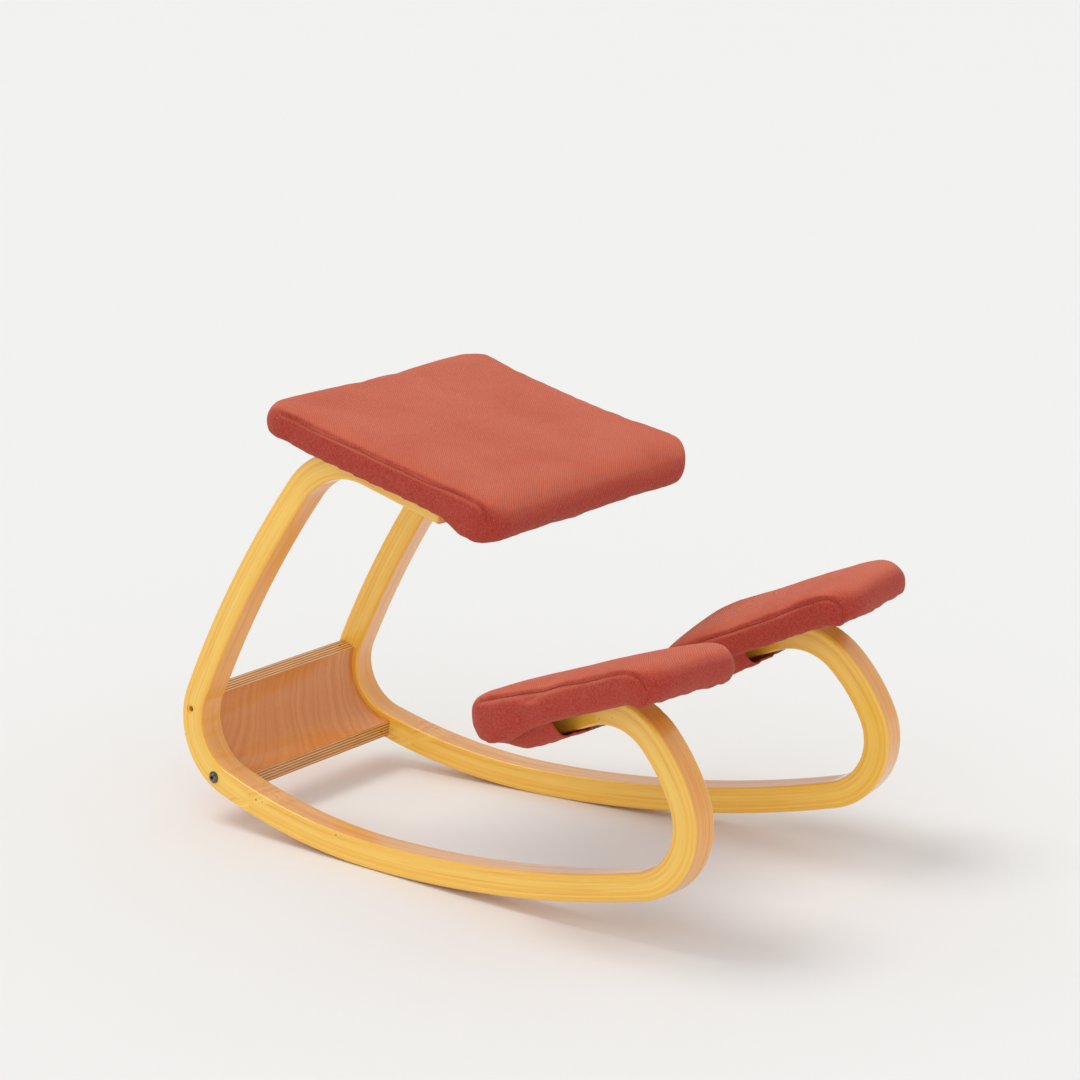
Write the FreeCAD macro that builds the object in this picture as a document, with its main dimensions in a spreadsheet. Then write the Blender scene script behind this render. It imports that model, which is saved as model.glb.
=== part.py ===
import FreeCAD, Part
import math
import os
import Sketcher

# Kneeling chair: two bent-wood runners joined by one moulded crosspiece, a seat cushion on the
# two rear arms and a knee cushion on each front arm.
# X points forward (towards the knee cushions), Y to the sitter's left, Z up.
# The origin is on the floor, under the middle of the chair. Millimetres and degrees.

SIZES = {
    # bent-wood runners
    "runner_width": 32.3,
    "runner_thick": 29.6,
    "runner_round": 3.0,
    "splay_angle": 4.09,
    "lean_angle": 1.41,
    "sole_ahead": -75.9,
    "sole_gauge": 313.0,
    "rear_sole_radius": 714.5,
    "rear_sole_angle": 18.05,
    "heel_radius": 69.0,
    "heel_angle": 96.69,
    "rear_riser_radius": 1273.0,
    "rear_riser_angle": 13.38,
    "rear_shoulder_radius": 96.2,
    "seat_pitch": 13.4,
    "seat_arm_length": 110.0,
    "front_sole_radius": 1390.0,
    "front_sole_angle": 15.41,
    "toe_radius": 70.1,
    "toe_angle": 98.41,
    "front_riser_radius": 178.3,
    "front_riser_angle": 22.4,
    "front_shoulder_radius": 72.3,
    "knee_pitch": 22.15,
    "knee_arm_length": 75.0,
    # moulded crosspiece
    "cross_setback": 6.5,
    "cross_thick": 20.0,
    "cross_top_angle": 157.8,
    "cross_bottom_angle": 261.8,
    "cross_round": 4.0,
    # bolts, inserts and pins
    "thread_dia": 6.0,
    "thread_slack": 0.1,
    "bolt_hole_dia": 6.8,
    "head_dia": 13.6,
    "head_flange": 1.1,
    "head_dome_dia": 10.5,
    "head_height": 3.3,
    "socket_width": 4.0,
    "socket_depth": 2.0,
    "ring_dia": 11.5,
    "ring_depth": 0.8,
    "upper_bolt_angle": 172.3,
    "lower_bolt_angle": 241.4,
    "frame_bolt_length": 45.0,
    "insert_dia": 10.0,
    "insert_length": 13.0,
    "insert_hole_depth": 16.0,
    "pin_dia": 2.5,
    "pin_length": 12.0,
    "pin_inset": 15.0,
    # cushion fixings
    "arm_bolt_length": 40.0,
    "seat_bolt_from_end": 24.0,
    "seat_bolt_spacing": 74.0,
    "knee_bolt_from_end": 18.0,
    "knee_bolt_spacing": 48.0,
    "nut_flange_dia": 19.0,
    "nut_flange_thick": 1.5,
    "nut_barrel_dia": 8.0,
    "nut_barrel_length": 7.5,
    # upholstery common to the three cushions
    "board_thick": 9.0,
    "board_corner": 20.0,
    "cloth_thick": 1.3,
    "soft_gap": 0.3,
    "side_puff": 4.0,
    "nose_reach": 25.0,
    "tail_reach": 20.0,
    # seat cushion
    "seat_length": 321.6,
    "seat_width": 367.4,
    "seat_from_arm_end": 84.0,
    "seat_corner": 21.0,
    "seat_seam_rise": 21.5,
    "seat_crown": 4.8,
    "seat_skirt_drop": 16.0,
    "seat_lip_drop": 15.0,
    "seat_lip_length": 76.0,
    "seat_board_length": 246.0,
    "seat_board_width": 338.0,
    "seat_recess_length": 204.0,
    "seat_recess_width": 344.0,
    "seat_recess_back": 12.0,
    # knee cushions
    "knee_length": 245.0,
    "knee_width": 163.0,
    "knee_from_arm_end": 85.0,
    "knee_corner": 16.0,
    "knee_seam_rise": 21.0,
    "knee_crown": 4.5,
    "knee_skirt_drop": 16.0,
    "knee_lip_drop": 13.0,
    "knee_lip_length": 78.0,
    "knee_board_length": 186.0,
    "knee_board_width": 124.0,
    "knee_recess_length": 166.0,
    "knee_recess_width": 108.0,
    "knee_recess_back": 8.0,
}

RIGHT = -1
LEFT = 1
SIDES = {"right": RIGHT, "left": LEFT}
X_AXIS = FreeCAD.Vector(1, 0, 0)
Y_AXIS = FreeCAD.Vector(0, 1, 0)
Z_AXIS = FreeCAD.Vector(0, 0, 1)
# a drill starts this far outside the face that it enters
LEAD = 1.0


def make_sheet():
    sheet = doc.addObject("Spreadsheet::Sheet", "Sizes")
    for row, (name, value) in enumerate(SIZES.items(), start=1):
        sheet.set("A%d" % row, name)
        sheet.set("B%d" % row, str(value))
        sheet.setAlias("B%d" % row, name)
    doc.recompute()
    return sheet


def size(name):
    return float(sheet.get(name))


def angle(name):
    return math.radians(size(name))


def vec(x=0.0, y=0.0, z=0.0):
    return FreeCAD.Vector(x, y, z)


def place(position, axis=Z_AXIS, degrees=0.0):
    return FreeCAD.Placement(position, FreeCAD.Rotation(axis, degrees))


def polar(centre, radius, bearing):
    return (centre[0] + radius * math.cos(bearing), centre[1] + radius * math.sin(bearing))


doc = FreeCAD.newDocument("kneeling_chair")
sheet = make_sheet()


# The runner's centre line: a chain of tangent arcs in its own upright plane

class Bend:
    """A tangent arc; way is 1 where the line turns anticlockwise and -1 where it turns back."""

    def __init__(self, start, heading, radius, sweep, way):
        self.radius = radius
        self.first = heading - way * math.pi / 2
        self.centre = polar(start, -radius, self.first)
        self.last = self.first + way * sweep
        self.end = polar(self.centre, radius, self.last)
        self.end_heading = heading + way * sweep

    def at_offset(self, offset):
        low = min(self.first, self.last)
        high = max(self.first, self.last)
        circle = Part.Circle(vec(*self.centre), Z_AXIS, self.radius + offset)
        return Part.ArcOfCircle(circle, low, high)


def chain(heading, way, bends):
    point = (0.0, size("runner_thick") / 2)
    arcs = []
    for radius, sweep in bends:
        arcs.append(Bend(point, heading, radius, sweep, way))
        point = arcs[-1].end
        heading = arcs[-1].end_heading
    return arcs


def rear_chain():
    shoulder = math.pi + angle("seat_pitch")
    shoulder -= angle("rear_sole_angle") + angle("heel_angle") + angle("rear_riser_angle")
    return chain(math.pi, -1, [
        (size("rear_sole_radius"), angle("rear_sole_angle")),
        (size("heel_radius"), angle("heel_angle")),
        (size("rear_riser_radius"), angle("rear_riser_angle")),
        (size("rear_shoulder_radius"), shoulder),
    ])


def front_chain():
    shoulder = math.pi + angle("knee_pitch")
    shoulder -= angle("front_sole_angle") + angle("toe_angle") + angle("front_riser_angle")
    return chain(0.0, 1, [
        (size("front_sole_radius"), angle("front_sole_angle")),
        (size("toe_radius"), angle("toe_angle")),
        (size("front_riser_radius"), angle("front_riser_angle")),
        (size("front_shoulder_radius"), shoulder),
    ])


REAR = rear_chain()
FRONT = front_chain()
HEEL = REAR[1]


def arm_line(last_bend, length, offset):
    """The straight arm after the last bend, as two points at an offset from the centre line."""
    start = polar(last_bend.centre, last_bend.radius + offset, last_bend.last)
    return start, polar(start, length, last_bend.end_heading)


def runner_outline():
    half = size("runner_thick") / 2
    edges = []
    corners = []
    for bends, length in ((REAR, size("seat_arm_length")), (FRONT, size("knee_arm_length"))):
        ends = []
        for offset in (half, -half):
            edges += [bend.at_offset(offset) for bend in bends]
            start, end = arm_line(bends[-1], length, offset)
            edges.append(Part.LineSegment(vec(*start), vec(*end)))
            ends.append(end)
        corners.append(ends)
    for outer, inner in corners:
        edges.append(Part.LineSegment(vec(*outer), vec(*inner)))
    return edges


# Where things stand

def runner_place(side):
    """The runner stands on its sole, turned by the splay and leaning inwards at the top."""
    lean = angle("lean_angle")
    edge = size("runner_round")
    lift = (size("runner_width") / 2 - edge) * math.sin(lean) + edge * (1 - math.cos(lean))
    foot = vec(size("sole_ahead"), side * size("sole_gauge") / 2, lift)
    splay = FreeCAD.Rotation(Z_AXIS, side * size("splay_angle"))
    leaning = FreeCAD.Rotation(X_AXIS, side * size("lean_angle"))
    return FreeCAD.Placement(foot, splay.multiply(leaning))


def face_place(side, point, outside):
    """On a runner's side face at a point of its plane, with Z pointing away from the chair."""
    across = side * size("runner_width") / 2
    if not outside:
        across = -across
    return place(vec(point[0], across, point[1]), X_AXIS, -side * 90)


def arm_place(last_bend, length, from_end, offset):
    """On an arm's top or underside, with X pointing forward and Z up out of the wood."""
    start, end = arm_line(last_bend, length, offset)
    share = from_end / length
    x = end[0] + share * (start[0] - end[0])
    z = end[1] + share * (start[1] - end[1])
    forward = math.degrees(math.atan2(end[1] - start[1], end[0] - start[0]))
    if end[0] < start[0]:
        forward -= 180
    return place(vec(x, 0, z), Y_AXIS, -forward)


def seat_arm_place(from_end, offset):
    return arm_place(REAR[-1], size("seat_arm_length"), from_end, offset)


def knee_arm_place(from_end, offset):
    return arm_place(FRONT[-1], size("knee_arm_length"), from_end, offset)


def seat_place():
    """The middle of the seat board's underside, resting on the higher edges of both arms."""
    half = size("runner_thick") / 2
    edge = size("runner_width") / 2 - size("runner_round")
    tilt = FreeCAD.Rotation(Y_AXIS, size("seat_pitch"))
    normal = tilt.multVec(Z_AXIS)
    forward = tilt.multVec(X_AXIS)
    runner = runner_place(RIGHT)
    rise = []
    for from_end in (0.0, size("seat_arm_length")):
        top = runner.multiply(seat_arm_place(from_end, half))
        rise += [top.multVec(vec(0, across, 0)).dot(normal) for across in (-edge, edge)]
    ahead = runner.multiply(seat_arm_place(0.0, half)).Base.dot(forward)
    ahead -= size("seat_from_arm_end")
    return FreeCAD.Placement(forward * ahead + normal * (max(rise) + size("thread_slack")), tilt)


def knee_place(side):
    """The middle of a knee board's underside, flat on the arm."""
    top = knee_arm_place(size("knee_from_arm_end"), size("runner_thick") / 2)
    return runner_place(side).multiply(top)


def frame_bolt_points():
    radius = HEEL.radius - size("runner_thick") / 2 + size("cross_setback")
    radius += size("cross_thick") / 2
    return {
        "upper": polar(HEEL.centre, radius, angle("upper_bolt_angle")),
        "lower": polar(HEEL.centre, radius, angle("lower_bolt_angle")),
    }


def cross_place():
    """The axis of the crosspiece, level with the heel bend where the runners' inner faces are."""
    inner = face_place(RIGHT, HEEL.centre, outside=False)
    axis = runner_place(RIGHT).multiply(inner).Base
    return place(vec(axis.x, 0, axis.z))


# Sketches, pads and pockets

def origin_plane(body, role):
    return [part for part in body.Origin.OriginFeatures if part.Role == role][0]


def add_sketch(body, name, role="XY_Plane", offset=None):
    sketch = body.newObject("Sketcher::SketchObject", name)
    sketch.AttachmentSupport = [(origin_plane(body, role), "")]
    sketch.MapMode = "FlatFace"
    if offset:
        sketch.AttachmentOffset = offset
    return sketch


def add_circle(sketch, diameter, centre=(0.0, 0.0)):
    """A circle whose radius follows half of the named size."""
    index = sketch.addGeometry(Part.Circle(vec(*centre), Z_AXIS, size(diameter) / 2), False)
    rule = sketch.addConstraint(Sketcher.Constraint("Radius", index, size(diameter) / 2))
    sketch.setExpression("Constraints[%d]" % rule, "Sizes.%s / 2" % diameter)
    return index


def add_pad(body, sketch, length, symmetric=False):
    pad = body.newObject("PartDesign::Pad", sketch.Name + "_pad")
    pad.Profile = sketch
    pad.SideType = "Symmetric" if symmetric else "One side"
    pad.setExpression("Length", length)
    doc.recompute()
    return pad


def add_pocket(body, sketch, depth, upward=False):
    """A pocket against the sketch's normal, or along it if upward; it has to remove material."""
    before = body.Shape.Volume
    pocket = body.newObject("PartDesign::Pocket", sketch.Name + "_cut")
    pocket.Profile = sketch
    pocket.Reversed = upward
    pocket.setExpression("Length", depth)
    doc.recompute()
    if body.Shape.Volume > before - 1e-3:
        raise ValueError("pocket cuts nothing: " + sketch.Name)
    return pocket


def drill(body, name, mouth, diameter, depth, leads=1):
    """A round hole along -Z of its mouth; two leads take it out through the far face."""
    start = mouth.multiply(place(vec(0, 0, LEAD)))
    sketch = add_sketch(body, name, offset=start)
    add_circle(sketch, diameter)
    return add_pocket(body, sketch, "%s + %g" % (depth, leads * LEAD))


def round_edges(body, feature, radius, wanted):
    names = ["Edge%d" % number for number, edge in enumerate(feature.Shape.Edges, start=1)
             if wanted(edge)]
    fillet = body.newObject("PartDesign::Fillet", feature.Name + "_round")
    fillet.Base = (feature, names)
    fillet.setExpression("Radius", radius)
    doc.recompute()
    return fillet


def rounded_rectangle(length, width, corner, ahead=0.0):
    """Lines and quarter arcs of a rectangle centred at (ahead, 0)."""
    edges = []
    reach = length / 2 - corner
    half = width / 2 - corner
    centres = [(reach, half), (-reach, half), (-reach, -half), (reach, -half)]
    for turn, (x, y) in enumerate(centres):
        centre = (ahead + x, y)
        start = turn * math.pi / 2
        circle = Part.Circle(vec(*centre), Z_AXIS, corner)
        edges.append(Part.ArcOfCircle(circle, start, start + math.pi / 2))
    for turn, (x, y) in enumerate(centres):
        after = centres[(turn + 1) % 4]
        bearing = (turn + 1) * math.pi / 2
        tail = polar((ahead + x, y), corner, bearing)
        head = polar((ahead + after[0], after[1]), corner, bearing)
        edges.append(Part.LineSegment(vec(*tail), vec(*head)))
    return edges


def rounded_block(length, width, corner, ahead, low, high):
    edges = [edge.toShape() for edge in rounded_rectangle(length, width, corner, ahead)]
    wire = Part.Wire(Part.__sortEdges__(edges))
    wire.translate(vec(0, 0, low))
    return Part.Face(wire).extrude(vec(0, 0, high - low))


def add_solid(name, shape, placement):
    feature = doc.addObject("Part::Feature", name)
    feature.Shape = shape
    feature.Placement = placement
    return feature


def copies(name, master, placements):
    """One node of identical solids, each the master shape at a placement of its own."""
    solids = []
    for placement in placements:
        solid = master.Shape.copy()
        solid.Placement = placement
        solids.append(solid)
    return add_solid(name, Part.makeCompound(solids), FreeCAD.Placement())


# Bent-wood runners

def make_runner(word, side):
    body = doc.addObject("PartDesign::Body", "runner_" + word)
    outline = add_sketch(body, "outline_" + word, "XZ_Plane")
    for edge in runner_outline():
        outline.addGeometry(edge, False)
    blank = add_pad(body, outline, "Sizes.runner_width", symmetric=True)
    half = size("runner_width") / 2

    def on_a_side_face(edge):
        box = edge.BoundBox
        return box.YLength < 1e-6 and abs(abs(box.YMin) - half) < 1e-6

    round_edges(body, blank, "Sizes.runner_round", on_a_side_face)
    for level, point in frame_bolt_points().items():
        mouth = face_place(side, point, outside=True)
        drill(body, "%s_hole_%s" % (level, word), mouth, "bolt_hole_dia", "Sizes.runner_width", 2)
        drill(body, "%s_ring_%s" % (level, word), mouth, "ring_dia", "Sizes.ring_depth")
    for number, mouth in enumerate(seat_bolt_mouths() + knee_bolt_mouths(), start=1):
        underside = mouth.multiply(place(vec(0, 0, size("runner_thick"))))
        name = "arm_hole_%d_%s" % (number, word)
        drill(body, name, underside, "bolt_hole_dia", "Sizes.runner_thick", 2)
    body.Placement = runner_place(side)
    return body


# Moulded crosspiece

def ring_sector(inner, outer, low, high):
    centre = (0.0, 0.0)
    edges = []
    for radius in (inner, outer):
        circle = Part.Circle(vec(), Z_AXIS, radius)
        edges.append(Part.ArcOfCircle(circle, low, high))
    for bearing in (low, high):
        ends = polar(centre, inner, bearing), polar(centre, outer, bearing)
        edges.append(Part.LineSegment(vec(*ends[0]), vec(*ends[1])))
    return edges


def cross_inner_radius():
    return HEEL.radius - size("runner_thick") / 2 + size("cross_setback")


def make_crosspiece():
    body = doc.addObject("PartDesign::Body", "rear_crosspiece")
    inner = cross_inner_radius()
    outer = inner + size("cross_thick")
    section = add_sketch(body, "cross_section", "XZ_Plane")
    for edge in ring_sector(inner, outer, angle("cross_top_angle"), angle("cross_bottom_angle")):
        section.addGeometry(edge, False)
    blank = add_pad(body, section, "Sizes.sole_gauge * 1.2", symmetric=True)

    def on_a_rear_corner(edge):
        box = edge.BoundBox
        if box.XLength > 1e-6 or box.ZLength > 1e-6:
            return False
        return abs(math.hypot(box.XMin, box.ZMin) - outer) < 1e-6

    round_edges(body, blank, "Sizes.cross_round", on_a_rear_corner)
    home = cross_place()
    for word, side in SIDES.items():
        local = home.inverse().multiply(runner_place(side))
        end = local.multiply(face_place(side, HEEL.centre, outside=False))
        trim = add_sketch(body, "end_%s" % word, offset=end)
        reach = 2 * outer
        for edge in rounded_rectangle(reach * 2, reach * 2, 1.0):
            trim.addGeometry(edge, False)
        add_pocket(body, trim, "Sizes.sole_gauge", upward=True)
        for level, point in frame_bolt_points().items():
            mouth = local.multiply(face_place(side, point, outside=False))
            name = "insert_hole_%s_%s" % (level, word)
            drill(body, name, mouth, "insert_dia", "Sizes.insert_hole_depth")
    for number, mouth in enumerate(pin_mouths(), start=1):
        drill(body, "pin_hole_%d" % number, mouth, "pin_dia", "Sizes.pin_length")
    body.Placement = home
    return body


def pin_mouths():
    """In the two long edge faces, near each end, with Z pointing out of the wood."""
    middle = cross_inner_radius() + size("cross_thick") / 2
    mouths = []
    for name, way in (("cross_top_angle", -1), ("cross_bottom_angle", 1)):
        bearing = angle(name)
        x, z = polar((0.0, 0.0), middle, bearing)
        outward = FreeCAD.Vector(-way * math.sin(bearing), 0, way * math.cos(bearing))
        for side in (RIGHT, LEFT):
            across = side * (inner_face_reach(x, z) - size("pin_inset"))
            turned = FreeCAD.Rotation(Z_AXIS, outward)
            mouths.append(FreeCAD.Placement(vec(x, across, z), turned))
    return mouths


def inner_face_reach(x, z):
    """How far to the side a runner's inner face lies at a point of the crosspiece's section."""
    face = runner_place(LEFT).multiply(face_place(LEFT, HEEL.centre, outside=False))
    normal = face.Rotation.multVec(Z_AXIS)
    point = cross_place().multVec(vec(x, 0, z))
    return (face.Base - point).dot(normal) / normal.y


# Bolts, nuts, inserts and pins

def revolve(name, points):
    """A body turned about Z from a closed half profile of (radius, height) points."""
    body = doc.addObject("PartDesign::Body", name)
    sketch = add_sketch(body, name + "_profile", "XZ_Plane")
    for start, end in zip(points, points[1:] + points[:1]):
        sketch.addGeometry(Part.LineSegment(vec(*start), vec(*end)), False)
    turned = body.newObject("PartDesign::Revolution", name + "_turned")
    turned.Profile = sketch
    turned.ReferenceAxis = (sketch, ["V_Axis"])
    turned.Angle = 360
    doc.recompute()
    return body


def make_bolt(name, length):
    """Flanged button head over Z = 0, shank below, hexagon socket in the dome."""
    shank = size("thread_dia") / 2
    flange = size("head_dia") / 2
    dome = size("head_dome_dia") / 2
    step = size("head_flange")
    top = size("head_height")
    brow = (step + 2 * top) / 3
    crest = (shank + dome) / 2
    body = revolve(name, [
        (0, -size(length)), (shank, -size(length)), (shank, 0), (flange, 0), (flange, step / 2),
        (dome, step), (dome - (top - step) / 4, brow), (crest, top), (0, top),
    ])
    socket = add_sketch(body, name + "_socket", offset=place(vec(0, 0, top)))
    radius = size("socket_width") / math.sqrt(3)
    corners = [polar((0, 0), radius, step * math.pi / 3) for step in range(6)]
    for start, end in zip(corners, corners[1:] + corners[:1]):
        socket.addGeometry(Part.LineSegment(vec(*start), vec(*end)), False)
    add_pocket(body, socket, "Sizes.socket_depth")
    return body


def make_insert():
    """A threaded sleeve, its mouth at Z = 0."""
    outer = (size("insert_dia") - size("thread_slack")) / 2
    bore = (size("thread_dia") + size("thread_slack")) / 2
    low = -size("insert_length")
    return revolve("insert_master", [(bore, low), (outer, low), (outer, 0), (bore, 0)])


def make_nut():
    """A tee nut: barrel in the board below Z = 0, flange on the board above it."""
    bore = (size("thread_dia") + size("thread_slack")) / 2
    barrel = (size("nut_barrel_dia") - size("thread_slack")) / 2
    flange = size("nut_flange_dia") / 2
    top = size("nut_flange_thick")
    low = -size("nut_barrel_length")
    return revolve("nut_master", [
        (bore, low), (barrel, low), (barrel, 0), (flange, 0), (flange, top), (bore, top),
    ])


def make_pin():
    radius = (size("pin_dia") - size("thread_slack")) / 2
    low = -size("pin_length")
    return revolve("pin_master", [(0, low), (radius, low), (radius, 0), (0, 0)])


def bolt_mouths(arm, from_end, spacing):
    """Under an arm, one bolt near its end and one further in; Z points up into the wood."""
    half = size("runner_thick") / 2
    return [arm(distance, -half) for distance in (from_end, from_end + spacing)]


def seat_bolt_mouths():
    return bolt_mouths(seat_arm_place, size("seat_bolt_from_end"), size("seat_bolt_spacing"))


def knee_bolt_mouths():
    return bolt_mouths(knee_arm_place, size("knee_bolt_from_end"), size("knee_bolt_spacing"))


def hang_bolts(name, master, mouths, sides):
    """Bolts that enter the arms from below, so the head is turned downwards."""
    over = place(vec(), X_AXIS, 180)
    places = [runner_place(side).multiply(mouth).multiply(over)
              for side in sides for mouth in mouths]
    return copies(name, master, places)


def nut_places(mouths, sides):
    """On the board, over each bolt."""
    rise = size("runner_thick") + size("board_thick") + size("soft_gap")
    above = place(vec(0, 0, rise))
    return [runner_place(side).multiply(mouth).multiply(above)
            for side in sides for mouth in mouths]


def frame_fasteners(bolt, insert, pin):
    """The upper bolt of the right runner is missing, and its hole stands open."""
    bolts = []
    inserts = []
    for word, side in SIDES.items():
        for level, point in frame_bolt_points().items():
            if (word, level) != ("right", "upper"):
                outer = face_place(side, point, outside=True)
                bolts.append(runner_place(side).multiply(outer))
            inner = face_place(side, point, outside=False)
            inserts.append(runner_place(side).multiply(inner))
    pins = [cross_place().multiply(mouth) for mouth in pin_mouths()]
    return [
        copies("frame_bolts", bolt, bolts),
        copies("crosspiece_inserts", insert, inserts),
        copies("crosspiece_pins", pin, pins),
    ]


# Cushions

class Cushion:
    """Sizes of one cushion over the middle of its board's underside.

    The lip hangs at one end, which lip_way names: 1 for the front and -1 for the back.
    """

    def __init__(self, kind, lip_way):
        self.kind = kind
        self.lip_way = lip_way
        self.reach = self.own("length") / 2
        self.half = self.own("width") / 2
        self.corner = self.own("corner")
        self.seam = self.own("seam_rise")
        self.crown = self.own("crown")
        self.skirt = -self.own("skirt_drop")
        self.lip = self.skirt - self.own("lip_drop")
        self.lip_start = self.reach - self.own("lip_length")
        self.back = self.own("recess_back")

    def own(self, name):
        return size("%s_%s" % (self.kind, name))

    def section(self, across, retreat, inset, crown, skin):
        """A closed profile at one station across the cushion.

        retreat draws both ends in at the plan's corners, inset draws the whole profile in at the
        puffed side, crown lifts the top and skin is the depth below the outer surface.
        """
        draw = inset + skin
        nose = self.reach - retreat - draw
        tail = -self.reach + retreat + draw
        top = self.seam + crown - draw
        skirt = self.skirt + draw
        lip = self.lip + draw
        lip_start = self.lip_start + draw
        drop = skirt - lip
        points = [
            (tail + 8, skirt),
            (lip_start, skirt),
            (lip_start + drop * 1.6, lip + drop * 0.2),
            (nose - size("nose_reach") * 0.8, lip),
            (nose - size("nose_reach") * 0.25, lip + drop * 0.3),
            (nose, skirt + 5),
            (nose, skirt + (top - skirt) * 0.5),
            (nose - size("nose_reach") * 0.24, top - (top - skirt) * 0.22),
            (nose - size("nose_reach"), top - 2),
            ((nose + tail) / 2, top + crown * 0.25),
            (tail + size("tail_reach"), top - 2),
            (tail + size("tail_reach") * 0.24, top - (top - skirt) * 0.22),
            (tail, skirt + (top - skirt) * 0.45),
            (tail + 2, skirt + 4),
        ]
        spots = [vec(self.lip_way * x, across, z) for x, z in points]
        edges = [
            Part.LineSegment(spots[0], spots[1]),
            Part.LineSegment(spots[1], spots[2]),
            Part.Arc(spots[2], spots[3], spots[4]),
            Part.Arc(spots[4], spots[5], spots[6]),
            Part.Arc(spots[6], spots[7], spots[8]),
            Part.Arc(spots[8], spots[9], spots[10]),
            Part.Arc(spots[10], spots[11], spots[12]),
            Part.Arc(spots[12], spots[13], spots[0]),
        ]
        return Part.Wire([edge.toShape() for edge in edges])

    def envelope(self, skin):
        """The crowned form, lofted from side to side, at a depth below its outer surface."""
        corner = self.corner
        puff = size("side_puff")
        half = self.half - skin
        stations = [
            (0.0, puff, 0.0),
            (corner * 0.1, puff * 0.3, 0.0),
            (corner * 0.3, puff * 0.05, 0.0),
            (corner * 0.6, 0.0, 0.1),
            (corner, 0.0, 0.25),
            (self.half * 0.5, 0.0, 0.85),
            (self.half - skin, 0.0, 1.0),
        ]
        wires = []
        for inward, inset, share in stations:
            short = max(corner - inward, 0.0)
            retreat = corner - math.sqrt(corner ** 2 - short ** 2)
            wires.append((half - inward, retreat, inset, self.crown * share))
        mirrored = [(-across, *rest) for across, *rest in reversed(wires[:-1])]
        rows = [self.section(*row, skin) for row in wires + mirrored]
        return Part.makeLoft(rows, True, False)

    def recess(self, grow, top):
        """The hollow under the board that the arm lies in, down through the cushion's rim."""
        return rounded_block(
            self.own("recess_length") + 2 * grow, self.own("recess_width") + 2 * grow,
            self.corner, -self.back, self.lip - 2 * LEAD, top)

    def board_space(self, grow):
        return rounded_block(
            self.own("board_length") + 2 * grow, self.own("board_width") + 2 * grow,
            size("board_corner") + grow, -self.back, -grow, size("board_thick") + grow)

    def cover(self):
        """A skin over the top, the sides and the rim, up the walls of the recess."""
        cloth = size("cloth_thick")
        inside = self.envelope(cloth).cut(self.recess(cloth, -size("soft_gap")))
        return self.envelope(0.0).cut(self.recess(0.0, 0.0)).cut(inside)

    def foam(self, nuts):
        """The filling, with room for the board in it and for the nuts on the board."""
        gap = size("soft_gap")
        depth = size("cloth_thick") + gap
        foam = self.envelope(depth).cut(self.recess(depth, 0.0)).cut(self.board_space(gap))
        relief = size("nut_flange_thick") + 3 * gap
        for nut in nuts:
            room = Part.makeCylinder(size("nut_flange_dia") / 2 + 3 * gap, 2 * relief)
            room.Placement = nut.multiply(place(vec(0, 0, -relief)))
            foam = foam.cut(room)
        return foam


def make_board(name, cushion, placement, nuts):
    body = doc.addObject("PartDesign::Body", name)
    outline = add_sketch(body, name + "_outline")
    for edge in rounded_rectangle(cushion.own("board_length"), cushion.own("board_width"),
                                  size("board_corner"), -cushion.back):
        outline.addGeometry(edge, False)
    add_pad(body, outline, "Sizes.board_thick")
    for number, nut in enumerate(nuts, start=1):
        hole = "%s_hole_%d" % (name, number)
        drill(body, hole, nut, "nut_barrel_dia", "Sizes.board_thick + Sizes.soft_gap", 2)
    body.Placement = placement
    return body


def make_cushion(prefix, cushion, placement, mouths, sides, bolt, nut):
    """Board, foam and cover, with the nuts on the board and the bolts up through the arms."""
    nuts = nut_places(mouths, sides)
    local = [placement.inverse().multiply(spot) for spot in nuts]
    return [
        make_board(prefix + "_board", cushion, placement, local),
        add_solid(prefix + "_foam", cushion.foam(local), placement),
        add_solid(prefix + "_cover", cushion.cover(), placement),
        copies(prefix + "_nuts", nut, nuts),
        hang_bolts(prefix + "_bolts", bolt, mouths, sides),
    ]


# The whole chair

def make_chair():
    nodes = [make_runner(word, side) for word, side in SIDES.items()]
    nodes.append(make_crosspiece())
    frame_bolt = make_bolt("frame_bolt_master", "frame_bolt_length")
    arm_bolt = make_bolt("arm_bolt_master", "arm_bolt_length")
    nut = make_nut()
    nodes += frame_fasteners(frame_bolt, make_insert(), make_pin())
    nodes += make_cushion("seat", Cushion("seat", 1), seat_place(), seat_bolt_mouths(),
                          SIDES.values(), arm_bolt, nut)
    for word, side in SIDES.items():
        nodes += make_cushion(word + "_knee", Cushion("knee", -1), knee_place(side),
                              knee_bolt_mouths(), [side], arm_bolt, nut)
    return nodes


def check(nodes):
    doc.recompute()
    for item in doc.Objects:
        if "Invalid" in item.State or "Error" in item.State:
            raise ValueError("failed object: " + item.Name)
    for node in nodes:
        if node.Shape.isNull() or not node.Shape.isValid():
            raise ValueError("bad shape: " + node.Label)


def main():
    nodes = make_chair()
    check(nodes)
    os.makedirs("parts", exist_ok=True)
    for node in nodes:
        node.Shape.exportStep("parts/%s.step" % node.Label)
        box = node.Shape.BoundBox
        print("%-20s solids %d volume %9.0f  x %7.1f %7.1f  y %7.1f %7.1f  z %6.1f %6.1f" % (
            node.Label, len(node.Shape.Solids), node.Shape.Volume,
            box.XMin, box.XMax, box.YMin, box.YMax, box.ZMin, box.ZMax))


main()
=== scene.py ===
import math

import bmesh
import bpy
from mathutils import Euler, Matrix, Vector, kdtree, noise
from mathutils.bvhtree import BVHTree


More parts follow.
